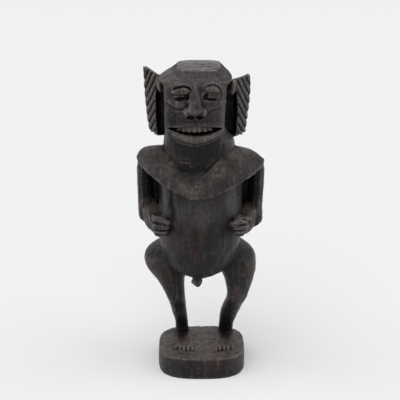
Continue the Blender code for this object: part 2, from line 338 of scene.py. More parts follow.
def trunk():
    """The barrel chest and the belly, cupped below, with the small knob under it."""
    belly = [
        (126, -16, 14, -38, 24, 2.0),
        (131, -30, 26, -50, 38, 2.1),
        (137, -44, 38, -57, 45, 2.2),
        (146, -53, 48, -62, 50, 2.3),
        (160, -60, 55, -66, 54, 2.3),
        (184, -67, 61.5, -68, 57, 2.3),
        (215, -68, 63, -66, 57, 2.3),
        (250, -67, 64.5, -60, 56, 2.4),
        (284, -67, 65, -57, 53, 2.4),
        (303, -62, 58, -50, 42, 2.4),
    ]
    knob = [
        (136, -13.5, -0.5, -50, -38, 2.2),
        (130, -13.8, -0.4, -50, -38, 2.2),
        (124.5, -16.4, 2.4, -52, -36, 2.2),
        (121, -15.6, 1.6, -51.5, -36.5, 2.2),
        (114.5, -8.5, -2.5, -47, -41, 2.2),
    ]
    return [stack(belly, 96), stack(knob, 20)]


def girdle(x, y, row):
    """The height round the shoulders at one ring: a V from the low point up to each side."""
    spread, low_x, front, back, left, right, bend_left, bend_right = row
    at_left = x < low_x
    reach = np.where(at_left, low_x - x.min(), x.max() - low_x)
    soft = 0.02 + 0.1 * (1 - spread)
    out = abs(x - low_x) / reach
    out = (np.sqrt(out**2 + soft**2) - soft) / (math.sqrt(1 + soft**2) - soft)
    low = np.where(y < 0, front, back)
    return low + (np.where(at_left, left, right) - low) * out ** np.where(at_left, bend_left, bend_right)


def yoke():
    """The raised collar over the shoulders: a V in front at the throat, and an overhanging rim.

    A row is how far the ring has spread inwards from the rim, the x of its low point, the heights in
    front, behind, left and right, and how the V bends on the left and on the right.
    """
    under = [
        (0.45, -7, 268, 297, 316, 311, 1.2, 1.2),
        (0.06, -7, 265.5, 294, 313.5, 308.5, 1.2, 1.2),
        (0.01, -8, 264.2, 293, 312.8, 307.8, 1.2, 1.2),
        (0.03, -8, 265.6, 294.5, 314.4, 309, 1.2, 1.2),
        (0.00, -8, 267.4, 296.5, 316.4, 310.6, 1.2, 1.2),
    ]
    over = [
        (0.02, -8, 268.6, 297.4, 318.2, 311.6, 1.2, 1.2),
        (0.09, -8.4, 270.6, 301, 325, 315, 1.2, 1.2),
        (0.25, -9.6, 274.5, 309, 331, 323, 1.25, 1.2),
        (0.50, -11.5, 280.5, 322, 334.1, 330.1, 1.35, 1.2),
        (1.00, -14.6, 289.6, 344, 336.2, 337.2, 1.5, 1.25),
    ]
    inner = [(1.06, -14.6, 288, 342, 334, 336, 1.5, 1.25), (1.3, -14.6, 276, 330, 322, 324, 1.5, 1.25)]
    u, v = oval(128, 2.35)
    rings = []
    for row in [*under, *spline(over, 5), *inner]:
        spread = row[0]
        x = (-1.6 + 100 * u) * (1 - spread) + (-3 + 46 * u) * spread
        outer_y = -2 + np.where(v < 0, 72, 62) * v
        inner_y = -8 + np.where(v < 0, 47, 42) * v
        y = outer_y * (1 - spread) + inner_y * spread
        h = girdle(x, y, row) - 12 * np.maximum(0, v)
        rings.append(np.stack([x, y, h], axis=1))
    return [skin(rings)]


def head():
    """The neck and skull, one thick column with a faceted crown, and the mask of the face on it."""
    column = [
        (276, -53, 45, -44, 40, 2.4, 0),
        (312, -58.5, 51.5, -49, 43, 2.4, 0),
        (338, -59, 51.5, -49, 43, 2.5, 0),
        (347, -58.5, 49, -50.5, 43, 2.5, 0),
        (357, -57, 40, -54, 43, 2.6, 0),
        (368, -56, 36, -57, 43, 2.8, 0),
        (400, -56, 35.5, -57, 43, 2.8, 0),
        (419, -57, 37, -57, 43, 2.8, 0),
        (431, -58.5, 40, -57.5, 42, 2.8, 0.01),
        (437.5, -63.5, 45.5, -56.5, 41, 2.9, 0.02),
        (441, -65.2, 46.8, -54.5, 40, 3.0, 0.02),
        (447, -55.5, 42.5, -50, 38, 3.1, 0.06),
        (452.6, -45.5, 36, -46.5, 33, 3.2, 0.09),
        (460.4, -36, 28, -42, 28, 3.4, 0.12),
    ]
    mask = [
        (344, -24, 4, -58, 0, 2.6),
        (346.5, -34, 13, -60, 0, 2.9),
        (350, -43, 22, -61.5, 0, 3.2),
        (357, -51, 30, -62, 0, 3.4),
        (367, -55, 34.5, -62, 0, 3.4),
        (385, -56, 35.5, -61.5, 0, 3.4),
        (400, -56, 36, -61.5, 0, 3.4),
        (420, -57, 37, -60.5, 0, 3.4),
        (432, -57, 37.5, -59.5, 0, 3.4),
        (438, -54, 35, -57.5, 0, 3.4),
        (446, -46, 32, -50, 0, 3.2),
    ]
    return [stack(column, 96, 1), stack(mask, 96, 3)]


def face():
    """Eyelids, the bags under the eyes, lips and a wedge of a nose."""
    out = (0, -1, 0)
    left_bag = [
        (-54, -45, 416, 4.4, 2.4),
        (-46, -53.5, 412.6, 6.6, 4.4),
        (-36, -57.5, 409.2, 7.0, 4.6),
        (-26, -59, 408.4, 5.2, 3.4),
    ]
    right_bag = [
        (35, -47.5, 413, 4.4, 2.2),
        (27, -54.5, 410.5, 6.0, 3.2),
        (17.5, -58, 407.4, 6.2, 3.4),
        (9, -59.6, 404.4, 4.6, 2.6),
    ]
    left_inner_fold = [
        (-14.8, -60, 427.5, 1.4, 2.0),
        (-16.8, -61, 419.5, 1.7, 2.4),
        (-20.2, -61, 411.5, 1.4, 1.8),
    ]
    nose_bridge = [
        (-8.6, -56, 441, 3.4, 2.4),
        (-8.9, -58.6, 429, 5.4, 3.8),
        (-9.2, -61, 417, 7.6, 5.4),
        (-9.5, -64, 407, 10.2, 6.8),
        (-9.5, -65, 401, 12, 7.4),
    ]
    upper_lip = [
        (-52, -46, 376.5, 2.0, 2.0),
        (-40, -56, 378.8, 2.8, 2.6),
        (-24, -59.4, 379.6, 3.4, 3.0),
        (-9, -60, 379.8, 3.5, 3.2),
        (6, -59.4, 379.6, 3.4, 3.0),
        (21, -56, 378.8, 2.8, 2.6),
        (32.5, -46, 376.5, 2.0, 2.0),
    ]
    lower_lip = [
        (-53, -44, 371.5, 2.4, 3.0),
        (-42, -55, 364, 3.9, 4.6),
        (-26, -62, 358.2, 5.0, 5.6),
        (-9.5, -63.8, 356.2, 5.4, 6.0),
        (7, -62, 358.0, 5.0, 5.6),
        (22, -55, 363, 3.9, 4.6),
        (33, -44, 371, 2.4, 3.0),
    ]
    ridges = (left_bag, right_bag, left_inner_fold, nose_bridge, upper_lip, lower_lip)
    forms = [limb(rows, 2.0, out, 20) for rows in ridges]
    # The two eyelids, and the tip and wings of the nose.
    for centre, radii, tilt in (
        ((-30, -56, 428.8), (15.5, 8.2, 6.2), -0.08),
        ((15.5, -55.8, 431), (12.2, 8.0, 5.6), 0.05),
        ((-9.8, -65.6, 400.4), (11.5, 8.4, 6.6), 0.0),
        ((-21.6, -60.5, 397.6), (6.8, 8.8, 7.2), 0.25),
        ((3.0, -60.5, 397.8), (6.4, 8.8, 7.2), -0.25),
    ):
        forms.append(ball(centre, radii, tilt))
    return forms


def face_cuts():
    """What is scooped out of the face: sockets, nostrils and the open mouth."""
    forms = [
        ball((-30.5, -62.5, 417.8), (10.5, 8.5, 3.3), -0.08),
        ball((-21.5, -61.5, 420.4), (4.4, 7.5, 4.6), 0.3),
        ball((15.0, -61.5, 416.8), (9.5, 7, 2.8), 0.03),
        ball((6.0, -61, 421), (4.0, 7.5, 6.0), 0.5),
        ball((-16.6, -64.5, 390.2), (6.6, 8, 3.9), 0.12),
        ball((-2.6, -64.5, 390.4), (6.0, 8, 3.7), -0.12),
    ]
    middle = -9.3
    level = 370
    upper = [(-53, 372.6), (-41, 374.2), (-25, 375.6), (-8, 375.6), (7, 375.6), (22, 374.2)]
    lower = [(33.5, 372.2), (19, 366.6), (7, 363.0), (-7.2, 361.2), (-22.5, 362.7), (-35, 366.4)]
    rings = []
    for y, grow in ((-84, 1.04), (-50, 1.0), (-42, 0.84), (-38, 0.6)):
        rings.append(
            [(middle + (x - middle) * grow, y, level + (h - level) * grow) for x, h in upper + lower]
        )
    forms.append(skin(rings))
    return forms


def tooth_row():
    """The row of upper teeth, set back from the lips on the curve of the jaw."""
    forms = []
    left, right = -37.9, 16.4
    pitch = (right - left) / TEETH
    for k in range(TEETH):
        x = left + pitch * (k + 0.5)
        from_middle = (x + 9.5) / 27
        back_off = 6.5 * from_middle**2
        low = 366.0 + 2.6 * from_middle**2
        profile = ((low, 0.8, -59.6), (low + 0.7, 0.93, -60.5), (low + 4, 0.96, -61.3), (381, 0.96, -60.6))
        rows = []
        for h, wide, front in profile:
            half = pitch * 0.5 * wide
            rows.append((h, x - half, x + half, front + back_off, -46 + back_off, 3.2))
        forms.append(stack(rows, 20, 2))
    return forms


# An ear's row is h, the inner and outer ends from the root outwards, the fan's front at its tip, its
# thickness there, the ridge's distance from the root, and the y of the ridge and of the hollow's floor.
EAR_ROWS = {
    LEFT: (
        (345.0, 4, 12, 14, 8, 9, 10, 12),
        (348.0, -6, 18, 12, 13, 10, 3, 8),
        (353, -14, 25, 11, 12, 11, -1, 26),
        (366, -14, 27, 11, 11, 12, -2, 30),
        (380, -14, 29, 11, 10, 12.5, -2, 31),
        (410, -14, 31.3, 12, 9, 12.5, -2, 31),
        (421, -14, 32.0, 13, 9, 11, 0, 26),
        (430, -14, 32.3, 14, 8, 9, 3, 10),
        (436, -6, 32.6, 15, 7.5, 8, 6, 8),
        (441, 10, 32.9, 16, 7, 14, 10, 12),
        (447, 20, 33.4, 17, 6, 24, 13, 14),
        (453.0, 29, 33.6, 17, 5, 31.5, 15.5, 16),
    ),
    RIGHT: (
        (344, 2, 12, 14, 8, 8, 10, 12),
        (346.5, -6, 23, 12, 13, 10, 3, 8),
        (352, -14, 28, 11, 12, 12, -1, 26),
        (364, -14, 29.5, 11, 11, 12.5, -2, 30),
        (378, -14, 31, 11, 10, 13, -2, 31),
        (400, -14, 34, 12, 9, 13, -2, 31),
        (416, -14, 35.2, 13, 9, 12, 0, 26),
        (425, -14, 35.5, 14, 8, 10, 3, 10),
        (431, -4, 35.0, 15, 7.5, 10, 6, 8),
        (435, 14, 34.5, 16, 7, 18, 10, 12),
        (439, 26, 33.5, 17, 6, 29, 14, 15),
        (440.8, 30, 33, 18, 5, 31.5, 17.5, 18),
    ),
}


def ear(side):
    """A winged ear: a slanting fan behind a deep hollow, and a knob where it meets the skull."""
    root_x, drop = EAR_ROOTS[side]
    rings = []
    for h, inner, out, tip_y, thick, ridge, ridge_y, floor_y in EAR_ROWS[side]:
        back = 36 if h < 430 else floor_y + 12
        plan = [
            (inner, floor_y),
            (ridge - 2.2, floor_y),
            (ridge, ridge_y + 1.2),
            (ridge + 1.2, ridge_y),
            (out - 1.2, tip_y),
            (out, tip_y + 1.5),
            (out, tip_y + thick - 1.5),
            (out - 2, tip_y + thick),
            (max(ridge, inner), back - 2),
            (inner, back),
        ]
        rings.append([(root_x + side * u, y, h) for u, y in plan])
    knob = ball((root_x + side * 6.5, -8, 429 + drop), (5.6, 16, 11.5), side * 0.2)
    return [skin(rings), knob]


def arm(side):
    """An upper arm like a post with chiselled faces, and the wall that closes the gap behind it."""
    if side == LEFT:
        plan = [(-101, -6), (-99, -16.5), (-92.5, -20.5), (-84, -15.5)]
        plan += [(-79, -6), (-77, 14), (-88, 23), (-98, 20)]
        spread = ((236, 0.992), (272, 1.0), (297, 1.0), (311, 0.99))
        low_outside, low_inside = 217.0, 206.0
    else:
        plan = [(98, -5), (96.5, -16), (91, -20.5), (82, -15.5)]
        plan += [(76.5, -5), (75, 14), (84, 23), (94, 20)]
        spread = ((236, 0.977), (272, 1.0), (297, 1.005), (306, 0.99))
        low_outside, low_inside = 213.0, 202.0
    # The lower end slants from its outer corner, which is this far out, down to the inner one.
    outside, inside = 98, 82
    slope = (low_outside - low_inside) / (outside - inside)
    rings = []
    for lift, scale in ((0, 0.97), (3, 0.985)):
        rings.append([(x * scale, y, low_outside + lift - slope * (outside - abs(x))) for x, y in plan])
    rings += [[(x * scale, y, h) for x, y in plan] for h, scale in spread]
    wall_plan = ((58, 9), (90, 11), (90, 21), (58, 21))
    wall = [[(side * x, y, h) for x, y in wall_plan] for h in (216, 240, 312)]
    return [skin(rings), skin(wall)]


def forearm(side):
    """The forearm from the elbow forward and inward to the wrist."""
    lean, drop, wrist = (1.0, 0.0, 1.0) if side == LEFT else (0.945, -3.0, 0.8)
    rows = [
        (side * 84 * lean, 14, 236 + drop, 12.5, 12.5),
        (side * 82 * lean, -5, 230.5 + drop, 14.5, 13.5),
        (side * 75 * lean, -25, 221.5 + drop, 14 * math.sqrt(wrist), 13.5),
        (side * 67.5 * lean, -42, 217 + drop, 12.5 * wrist, 12.5),
        (side * 64 * lean, -50, 217.5, 11 * wrist, 12),
    ]
    return [limb(rows, 3.6, sides=32)]


def fist(side):
    """A closed hand: the thumb over the curled fingers.

    A finger is its h, half its thickness and its reach. A place along it is how far out it is as a share
    of the reach, its y, its height above that h, and its share of the thickness.
    """
    if side == LEFT:
        x, thumb_h = -63.0, 231.0
        fingers = ((219.6, 4.9, 11.5), (211.0, 3.9, 9.5), (205.8, 3.0, 8.5))
    else:
        x, thumb_h = 59.0, 228.8
        fingers = ((218.3, 4.2, 10.5), (211.0, 3.7, 8.5), (206.2, 2.6, 6.0))
    curl = (
        (1, -50, 1.2, 0.9),
        (0.75, -58.5, 0.8, 1),
        (0, -62.5, 0, 1),
        (-0.75, -60, -0.6, 1),
        (-1, -51, -0.8, 0.9),
    )
    thumb = ((10, -47, -1, 1), (7, -56, 0.6, 1), (0, -61, 0, 1), (-9, -61, -4.5, 0.9), (-13, -54, -6.5, 0.8))
    digits = [(*finger, curl) for finger in fingers] + [(thumb_h, 5.4, 1, thumb)]
    forms = [ball((x, -51, 220), (13.0, 12.5, 15.5))]
    for h, half, reach, places in digits:
        rows = []
        for out, y, up, share in places:
            rows.append((x + side * reach * out, y, h + up, half * share, half * share))
        forms.append(limb(rows, 2.3, sides=20))
    return forms


def leg(side):
    """A bent leg: the bulging haunch, the knee in front, and the shin back to the ankle."""
    depths = [(177, 2, 44), (167, -18, 56), (153, -30, 62), (136, -35, 55), (116, -37, 36), (98, -36, 20)]
    depths += [(84, -30, 12), (66, -14, 17), (50, 0, 29), (34, 13, 41), (18, 24, 50), (-4, 32, 57)]
    if side == LEFT:
        outers = [-53, -72, -91, -89.6, -71.6, -60.5, -55, -50.5, -48.5, -45.5, -44, -43]
        inners = [-30, -22, -18, -20, -26.5, -26.5, -26, -25, -24, -23, -22, -21]
    else:
        outers = [50, 68, 85, 88.5, 83.5, 77, 72.5, 66, 62, 57.5, 53.5, 52]
        inners = [30, 22, 20, 26, 36, 40, 40, 34, 31, 29.5, 29, 28.5]
    rows = []
    for (h, front, back), outer, inner in zip(depths, outers, inners):
        rows.append((h, *sorted((outer, inner)), front, back, 2.4))
    return [stack(rows, 40)]


def toe_place(side, from_big):
    """The x and y of a place in the row of toes, from 0 at the big toe to 1 at the little one."""
    return TOE_X[side] - side * (13 - 27 * from_big), -29 + 9 * from_big**1.4


def foot(side):
    """A flat foot in low relief on the base, with its toes in front."""
    ankle_x, toe_x = -32.5 if side == LEFT else 39.0, TOE_X[side]
    rows = [
        (ankle_x, 53.3, 0.2, 10.5, 2.2),
        (ankle_x, 34, 0, 12, 2.2),
        (toe_x, 5, 0, 14, 2.0),
        (toe_x, -22, 0, 15.5, 1.8),
    ]
    forms = [limb(rows, 3.2, sides=28)]
    for k in range(TOES):
        from_big = k / (TOES - 1)
        size = 3.5 - 0.8 * from_big
        forms.append(ball((*toe_place(side, from_big), 0.4), (size, 7.0, size - 0.3), sides=20))
    return forms


def joined(name, forms):
    """One mesh of several closed forms, each with its faces turned outwards."""
    points, faces, start = [], [], 0
    for form_points, form_faces in forms:
        points.append(form_points)
        faces += [[start + k for k in face] for face in form_faces]
        start += len(form_points)
    mesh = bpy.data.meshes.new(name)
    mesh.from_pydata(np.concatenate(points).tolist(), [], faces)
    shape = bmesh.new()
    shape.from_mesh(mesh)
    bmesh.ops.recalc_face_normals(shape, faces=shape.faces)
    shape.to_mesh(mesh)
    shape.free()
    return mesh


def as_object(name, mesh):
    obj = bpy.data.objects.new(name, mesh)
    bpy.context.scene.collection.objects.link(obj)
    return obj


def melt(obj, name, size):
    """Closed forms that overlap become one skin of small even faces."""
    modifier = obj.modifiers.new(name, "REMESH")
    modifier.mode = "VOXEL"
    modifier.voxel_size = size


def combine(obj, name, other, operation):
    modifier = obj.modifiers.new(name, "BOOLEAN")
    modifier.operation = operation
    modifier.solver = "MANIFOLD"
    modifier.object = other


def evaluated_mesh(obj):
    """The object's mesh with its modifiers applied."""
    bpy.context.view_layer.update()
    return bpy.data.meshes.new_from_object(obj.evaluated_get(bpy.context.evaluated_depsgraph_get()))


def rough_carving(size):
    """The figure's forms joined in one skin, with the mouth, sockets and nostrils scooped out."""
    forms = base() + trunk() + yoke() + head() + face()
    for side in SIDES:
        forms += ear(side) + arm(side) + forearm(side) + fist(side) + leg(side) + foot(side)
    body = as_object("forms", joined("forms", forms))
    scoops = as_object("scoops", joined("scoops", face_cuts()))
    teeth = as_object("teeth", joined("teeth", tooth_row()))
    melt(body, "one skin", size)
    melt(scoops, "one skin", size * 0.8)
    melt(teeth, "one skin", size * 0.7)
    combine(body, "scooped out", scoops, "DIFFERENCE")
    combine(body, "teeth set in", teeth, "UNION")
    melt(body, "even faces", size)
    soften = body.modifiers.new("softened", "SMOOTH")
    soften.factor = 0.5
    soften.iterations = 3
    mesh = evaluated_mesh(body)
    for obj in (body, scoops, teeth):
        bpy.data.objects.remove(obj)
    return mesh


# The surface: what the knife and the years did to it.


def lumps(spots, size, seed):
    """Smooth seeded noise from -1 to 1. Its lumps have this size, one number or one for each axis."""
    cells = 24
    lattice = np.random.default_rng(seed).uniform(-1, 1, (cells, cells, cells))
    place = spots / size
    low = np.floor(place).astype(int)
    t = place - low
    t = t * t * (3 - 2 * t)
    value = np.zeros(len(spots))
    for corner in range(8):
        step = np.array([corner & 1, corner >> 1 & 1, corner >> 2 & 1])
        weight = np.prod(np.where(step, t, 1 - t), axis=1)
        i, j, k = ((low + step) % cells).T
        value += weight * lattice[i, j, k]
    return value


def along_route(spots, route):
    """Each spot's distance from a route in the plane, and how far along it is, from 0 to 1."""
    route = np.array(route, float)
    nearest = np.full(len(spots), np.inf)
    share = np.zeros(len(spots))
    lengths = np.linalg.norm(np.diff(route, axis=0), axis=1)
    walked = 0.0
    for start, end, length in zip(route, route[1:], lengths):
        t = np.clip((spots - start) @ (end - start) / length**2, 0, 1)
        away = np.linalg.norm(spots - start - t[:, None] * (end - start), axis=1)
        closer = away < nearest
        nearest[closer] = away[closer]
        share[closer] = (walked + t[closer] * length) / lengths.sum()
        walked += length
    return nearest, share


def cut(spots, normals, route, half_width, depth, view, between, point):
    """How deep a cut along a route is at each spot. It is seen from the front or from above.

    Between gives the range of y, or of h from above, that the cut reaches. At point 1 it is a V, and
    above it a rounder hollow.
    """
    plane, across, facing = ((0, 2), 1, -normals[:, 1]) if view == "front" else ((0, 1), 2, normals[:, 2])
    result = np.zeros(len(spots))
    flat = spots[:, plane]
    box_low, box_high = np.min(route, axis=0) - half_width, np.max(route, axis=0) + half_width
    near = np.all((flat > box_low) & (flat < box_high), axis=1)
    near &= (spots[:, across] > between[0]) & (spots[:, across] < between[1])
    away, share = along_route(flat[near], route)
    taper = np.clip(np.minimum(share, 1 - share) * 9, 0, 1) ** 0.6
    inside = np.clip(1 - away / (half_width * (0.4 + 0.6 * taper)), 0, 1)
    if point > 1:
        inside = 0.5 - 0.5 * np.cos(math.pi * inside)
    result[near] = depth * taper * inside * np.clip((facing[near] - 0.05) / 0.3, 0, 1)
    return result


def knife_cuts():
    """The cuts on the figure, each with its route, half width, depth, view, reach and point."""
    on_face = [
        # The creases under the brows.
        ([(-43, 430), (-38, 434.6), (-27, 436.6), (-19, 434.8), (-14.4, 429.4)], 2.1, 4.2),
        ([(4, 434), (9, 437.2), (17, 438.6), (24, 436), (28.6, 430), (29.8, 421), (28.2, 413.5)], 1.7, 2.6),
        # The slits under the eyelids.
        ([(-45, 423.4), (-38, 422.6), (-30, 422.6), (-17, 425)], 1.3, 2.4),
        ([(7.5, 426.4), (16, 426.2), (25, 425.8)], 1.2, 2.2),
        ([(8.5, 422.3), (16, 422), (24.5, 422.8)], 0.9, 1.2),
        # Under the bags.
        ([(-53, 412), (-46, 405.6), (-38, 402.0), (-26, 401.8)], 2.6, 1.6),
        ([(31, 408), (23, 402.6), (15, 399.8), (9.4, 396.6)], 2.4, 1.0),
        # The frown.
        ([(-7.6, 448), (-7.2, 436)], 1.0, 1.5),
        ([(-11.6, 437), (-11, 422)], 1.1, 1.0),
        ([(-5, 434), (-4, 417)], 1.1, 1.0),
        ([(-0.8, 433), (-0.8, 417)], 1.1, 1.0),
        # The wings of the nose.
        ([(-25, 403), (-27.6, 396), (-24.5, 391)], 1.5, 1.8),
        ([(7, 403), (9.4, 396), (6.5, 391)], 1.5, 1.8),
        # Where the lower lip meets the jaw.
        ([(-49, 366), (-40, 356), (-27, 350.8), (-9.4, 348.6), (7, 350), (20, 355.6), (30, 364)], 1.5, 0.8),
        # The chip on the throat.
        ([(-32, 322.4), (-26, 319), (-17, 322)], 2.6, 1.6),
    ]
    on_fists = [
        ([(-76, 225.6), (-67, 225.8), (-60, 226.2), (-52, 223)], 1.6, 2.0),
        ([(-75, 215), (-67.4, 214.6), (-52, 214)], 1.5, 1.9),
        ([(-71, 208.8), (-54, 208.2)], 1.2, 1.4),
        ([(46.5, 223.4), (58, 223.2), (70, 223.4)], 1.6, 2.0),
        ([(48, 214.6), (58, 214.6), (68, 214.8)], 1.5, 1.9),
        ([(52, 208.6), (64, 208.6)], 1.2, 1.4),
    ]
    round_wrists = [
        ([(-71, 239), (-77, 234), (-78.6, 226), (-76.5, 216)], 2.2, 2.6),
        ([(58, 236), (65, 233), (72, 228), (75.4, 222), (74.4, 213)], 2.2, 2.8),
    ]
    on_base = [([(10.5, 10), (22.5, 11)], 1.1, 1.4), ([(-13, -9.5), (1, -8.5)], 0.9, 0.8)]
    channel_beside_fist = [([(-47, 282), (-46, 258), (-43, 238), (-42, 224)], 6.5, 2.6)]
    notch_of_throat = [([(-30, 316), (-14, 300), (8, 316)], 8.0, 1.5)]
    between_toes = []
    for side in SIDES:
        for k in range(TOES - 1):
            x, y = toe_place(side, (k + 0.5) / (TOES - 1))
            between_toes.append(([(x, y - 9), (x, y + 6)], 1.1, 2.4))
    groups = (
        (on_face, "front", (-80, -40), 1.0),
        (on_fists, "front", (-80, -45), 1.0),
        (round_wrists, "front", (-66, -38), 1.0),
        (on_base, "top", (-3, 3), 1.0),
        (between_toes, "top", (-2, 9), 1.0),
        (channel_beside_fist, "front", (-75, -30), 2.0),
        (notch_of_throat, "front", (-80, -40), 2.0),
    )
    return [(*entry, view, reach, point) for entries, view, reach, point in groups for entry in entries]


def ear_cuts(spots, normals):
    """The slanting grooves of both ears, on the fans' fronts and over their outer edges."""
    half_width = 1.4
    middle, first_level = 24, 433
    run, rise = np.cos(EAR_GROOVE_SLOPE), np.sin(EAR_GROOVE_SLOPE)
    h = spots[:, 2]
    result = np.zeros(len(spots))
    for side in SIDES:
        root_x, drop = EAR_ROOTS[side]
        low_h = 346 if side == LEFT else 345
        out = side * (spots[:, 0] - root_x)
        on_fan = (out > 10.5) & (out < 40) & (spots[:, 1] > -8) & (h > low_h) & (h < 452)
        faces_us = np.clip((-normals[:, 1] * 0.9 + side * normals[:, 0] * 0.5) / 0.4, 0, 1)
        for k in range(-1, EAR_GROOVES + 2):
            level = first_level + drop - EAR_GROOVE_PITCH * k
            away = abs((out - middle) * rise + (h - level) * run)
            groove = np.clip(1.2 - away / half_width, 0, 1) * faces_us
            result = np.maximum(result, np.where(on_fan, groove, 0))
    return EAR_GROOVE_DEPTH * result


def knife_work(spots, normals, share):
    """The depth of the deepest cut at each spot, in parts."""
    depth = ear_cuts(spots, normals)
    for entry in knife_cuts():
        depth = np.maximum(depth, cut(spots, normals, *entry))
    return depth * share


def hand_work(spots):
    """The hewn surface's share of its depth: scoops with ridges between, and fine scraper lines."""
    scoops = abs(lumps(spots, np.array([11.0, 11.0, 24.0]), 3)) + 0.5 * abs(lumps(spots, 6.5, 5))
    sway = lumps(spots, 30.0, 9)
    scrapes = lumps(spots, np.array([2.4, 2.4, 22.0]), 7)
    return 1.5 * scoops + 0.5 * sway + 0.3 * scrapes


def smoothed(spots, edges, rounds):
    """The spots after this many rounds of moving each to the middle of its neighbours."""
    count = len(spots)
    ends = np.concatenate([edges, edges[:, ::-1]])
    number = np.bincount(ends[:, 0], minlength=count)
    for _ in range(rounds):
        sums = [np.bincount(ends[:, 0], spots[ends[:, 1], axis], count) for axis in range(3)]
        spots = 0.4 * spots + 0.6 * np.stack(sums, axis=1) / number[:, None]
    return spots


# Regions of the surface: the x, y and h of the middle, the reach along each, and the strength.
# Darker stain and painted shade. Besides the stain, these darken the neck under the chin, the eye sockets,
# the places under the nose and the lower lip, the gaps beside the arms and fists, the haunches' tops and the
# places behind the legs, where shade falls.
DARK_STAIN_AND_PAINTED_SHADE = (
    (-4, -50, 326, 62, 26, 34, 1.0),
    (-13, -42, 306, 50, 13, 30, 1.4),
    (-50, -52, 392, 20, 26, 34, 1.4),
    (-54, -44, 424, 9, 20, 14, 0.8),
    (40, -46, 420, 8, 20, 30, 0.6),
    (-4, -64, 160, 64, 40, 48, 0.7),
    (-46, -40, 250, 7, 24, 44, 1.0),
    (-42, -20, 100, 34, 50, 60, 1.1),
    (50, -20, 90, 30, 50, 40, 0.4),
    (-33, 20, 22, 18, 40, 34, 1.0),
    (40, 20, 22, 18, 40, 34, 1.0),
    (0, -60, -24, 80, 40, 20, 0.5),
    (0, -42, 2, 64, 30, 8, 0.6),
    (-80, 6, 400, 14, 20, 60, 0.3),
    (-80, 10, 292, 22, 24, 44, 0.9),
    (78, 10, 292, 22, 24, 44, 0.9),
    (-76, -20, 160, 24, 50, 24, 0.9),
    (74, -20, 160, 24, 50, 24, 0.7),
    (-30, -60, 417, 14, 12, 6, 1.0),
    (12, -60, 417, 13, 12, 6, 1.0),
    (-9, -60, 349, 44, 16, 6, 0.8),
    (-9, -60, 386, 30, 14, 6, 0.5),
)
# Grey stain and painted sheen. These lighten the chest, the torso's side, the brows, the forehead and the
# nose tip where reflected light is painted, and the left forearm's top and the teeth, which lie in shade.
GREY_STAIN_AND_PAINTED_SHEEN = (
    (-4, -62, 246, 44, 20, 34, 0.7),
    (-57, -44, 250, 6, 26, 50, 1.0),
    (-76, -14, 240, 22, 28, 14, 1.2),
    (47, -48, 250, 14, 24, 44, 0.9),
    (-6, -44, 446, 58, 34, 18, 0.55),
    (66, 6, 400, 14, 20, 60, 0.3),
    (-30, -56, 440, 18, 14, 7, 0.8),
    (26, -56, 444, 16, 14, 8, 0.6),
    (-14, -66, 402, 12, 12, 10, 0.8),
    (-40, -60, 410, 16, 12, 8, 0.7),
    (58, -30, 96, 14, 24, 26, 0.7),
    (-66, -40, 146, 14, 24, 20, 0.3),
    (-10.5, -60, 371, 34, 10, 9, 1.0),
)
RED_WOOD = (
    (-20, -68, 212, 9, 14, 26, 1.0),
    (0, -68, 205, 7, 14, 14, 1.0),
    (-12, -66, 186, 16, 14, 20, 0.7),
    (38, -62, 234, 9, 12, 10, 0.6),
    (-98, -14, 268, 5, 14, 24, 1.0),
    (-92, -14, 246, 14, 20, 10, 0.7),
    (24, -72, 277, 18, 8, 5, 1.0),
    (-70, -20, 318, 22, 24, 12, 0.6),
    (73, -26, 138, 11, 24, 14, 1.0),
    (58, -34, 102, 9, 12, 16, 0.7),
    (-52, -30, 122, 9, 18, 22, 0.9),
    (-53, -60, 222, 7, 12, 10, 1.0),
    (47, -58, 214, 5, 14, 12, 0.9),
    (17, -60, 441, 13, 10, 5, 0.9),
    (16, -62, 429, 10, 8, 6, 0.7),
    (-27, -62, 427, 10, 8, 4, 0.7),
    (3, -66, 422, 8, 12, 12, 0.6),
    (-18, -64, 385, 8, 8, 6, 0.8),
    (-20, -60, 349, 22, 10, 5, 0.7),
    (0, 0, 1, 110, 100, 9, 0.9),
    (20, -66, -14, 24, 8, 14, 0.6),
)
# Wax and dust, and painted light: the strong patches on the forearms' tops and the teeth lighten them where
# they lie in shade.
WAX_DUST_AND_PAINTED_LIGHT = (
    (-16, -64, 280, 24, 18, 20, 1.2),
    (-44, -50, 318, 18, 22, 20, 0.8),
    (24, -56, 310, 22, 20, 22, 0.8),
    (56, -40, 330, 22, 24, 16, 0.6),
    (-9, -66, 357, 44, 14, 10, 2.5),
    (-63, -14, 430, 9, 18, 15, 2.5),
    (47, -14, 426, 9, 18, 15, 2.5),
    (-42, -44, 442, 14, 12, 10, 0.6),
    (60, -62, 226, 14, 12, 12, 0.8),
    (76, -14, 236, 24, 30, 12, 0.8),
    (-76, -10, 243, 26, 34, 14, 2.6),
    (-28, -14, 3, 20, 26, 8, 0.9),
    (36, -10, 3, 20, 26, 8, 0.5),
    (-10, -70, 397, 14, 8, 10, 0.5),
    (-10.5, -60, 371, 32, 8, 7, 2.3),
)
# Regions where less painted shade is put into the hollows.
OPEN_TO_LIGHT = (
    (-10.5, -60, 371, 34, 12, 9, 2.0),
    (-76, -12, 240, 24, 32, 18, 2.2),
    (74, -12, 236, 22, 30, 16, 1.0),
)


def patches(spots, regions):
    """The strongest region at each spot. Each fades to 0 at its edge."""
    result = np.zeros(len(spots))
    for region in np.array(regions):
        away = np.linalg.norm((spots - region[:3]) / region[3:6], axis=1)
        result = np.maximum(result, region[6] * np.clip(1.6 * (1 - away), 0, 1))
    return result


